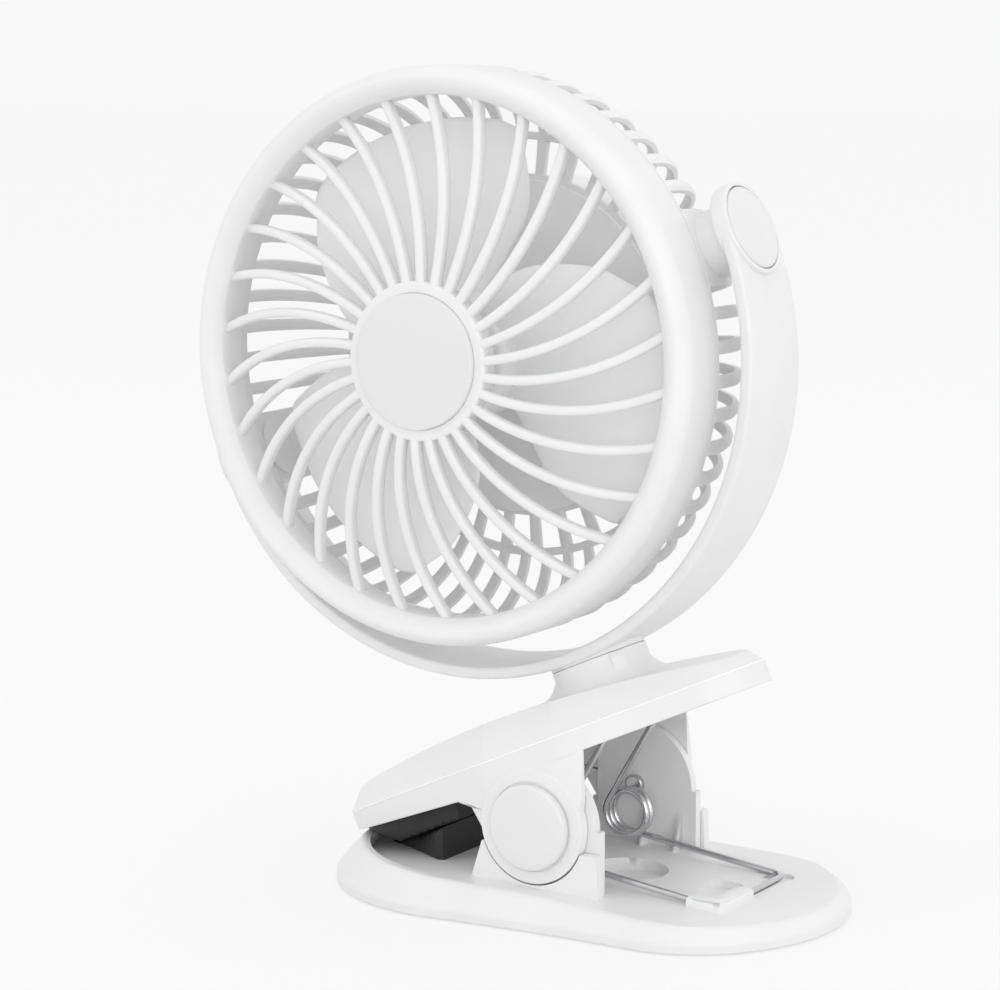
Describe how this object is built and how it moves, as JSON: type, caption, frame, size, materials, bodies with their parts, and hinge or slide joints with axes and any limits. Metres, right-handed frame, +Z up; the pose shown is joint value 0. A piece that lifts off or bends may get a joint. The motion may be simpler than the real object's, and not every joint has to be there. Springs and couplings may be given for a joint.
{
  "type": "clip fan",
  "caption": "Cage fan in a U-shaped yoke that swivels and tilts on a sprung clip with a broad flat base, black grip pads and a charging socket at the back.",
  "frame": {"origin": "on the surface the base stands on, directly under the clip's hinge axis, at the underside of the middle foot", "axes": "+X along the clip from its mouth to its tail, +Y across the clip along the hinge axis (the fan blows towards -Y), +Z up"},
  "size_m": [0.1934, 0.0959, 0.2237],
  "materials": {
    "housing_white": "smooth white moulding, satin gloss",
    "cover_white": "white moulding with a light texture",
    "cap_white": "smooth white moulding",
    "grille_white": "smooth white moulding, satin gloss",
    "badge_white": "flat matte white",
    "inner_white": "matte white moulding",
    "blade_white": "smooth white blades",
    "button_white": "smooth white button",
    "bush_plastic": "natural acetal",
    "pad_rubber": "black rubber",
    "foot_rubber": "dark rubber",
    "spring_steel": "bright plated wire",
    "screw_steel": "plated steel",
    "socket_steel": "plated steel shell",
    "motor_steel": "zinc plated steel",
    "bearing_bronze": "sintered bronze",
    "magnet_grey": "bonded magnet, dark grey",
    "rotor_copper": "enamelled copper on steel laminations",
    "board_green": "green solder mask",
    "switch_black": "black key switch",
    "guide_clear": "clear light guide",
    "cell_wrap": "blue shrink wrap"
  },
  "bodies": {
    "base": {"lower_jaw": "housing_white", "base_cover": "cover_white", "rubber_feet": "foot_rubber", "base_screws": "screw_steel", "lower_jaw_pad": "pad_rubber", "hinge_cap_near": "cap_white", "hinge_cap_far": "cap_white", "hinge_screws": "screw_steel", "clip_spring": "spring_steel"},
    "jaw": {"upper_jaw": "housing_white", "upper_jaw_pad": "pad_rubber", "swivel_bush": "bush_plastic"},
    "yoke": {"yoke_arm": "housing_white", "swivel_washer": "screw_steel", "swivel_screw": "screw_steel", "yoke_button_right": "cap_white", "yoke_button_left": "cap_white"},
    "head": {"front_grille": "grille_white", "grille_cap": "badge_white", "rear_cage": "grille_white", "tilt_washers": "bush_plastic", "tilt_screws": "screw_steel", "motor_plate": "inner_white", "rear_pod": "housing_white", "pod_screws": "screw_steel", "circuit_board": "board_green", "key_switch": "switch_black", "usb_socket": "socket_steel", "light_guides": "guide_clear", "battery_cell": "cell_wrap", "motor_can": "motor_steel", "motor_bearings": "bearing_bronze", "motor_magnets": "magnet_grey"},
    "rotor": {"impeller": "blade_white", "impeller_nut": "bush_plastic", "motor_shaft": "motor_steel", "motor_rotor": "rotor_copper"},
    "button": {"power_button": "button_white"}
  },
  "joints": [
    {"name": "clip_hinge", "type": "hinge", "parent": "base", "child": "jaw", "pos_m": [0, 0, 0.0251], "axis": [0, 1, 0], "range_deg": [0, 32], "stiffness_Nm_per_rad": 1.3, "springref_deg": -28.65, "deforming": ["clip_spring"]},
    {"name": "yoke_swivel", "type": "hinge", "parent": "jaw", "child": "yoke", "pos_m": [-0.03369, 0, 0.14649], "axis": [-0.4067, 0, 0.9135], "continuous": true},
    {"name": "head_tilt", "type": "hinge", "parent": "yoke", "child": "head", "pos_m": [-0.03369, 0, 0.14649], "axis": [0.9135, 0, 0.4067], "continuous": true},
    {"name": "impeller_spin", "type": "hinge", "parent": "head", "child": "rotor", "pos_m": [-0.03369, 0, 0.14649], "axis": [0, -1, 0], "continuous": true},
    {"name": "power_button_press", "type": "slide", "parent": "head", "child": "button", "axis": [0, -1, 0], "range_m": [0, 0.0008], "stiffness_N_per_m": 1500, "springref_m": -0.0004}
  ]
}
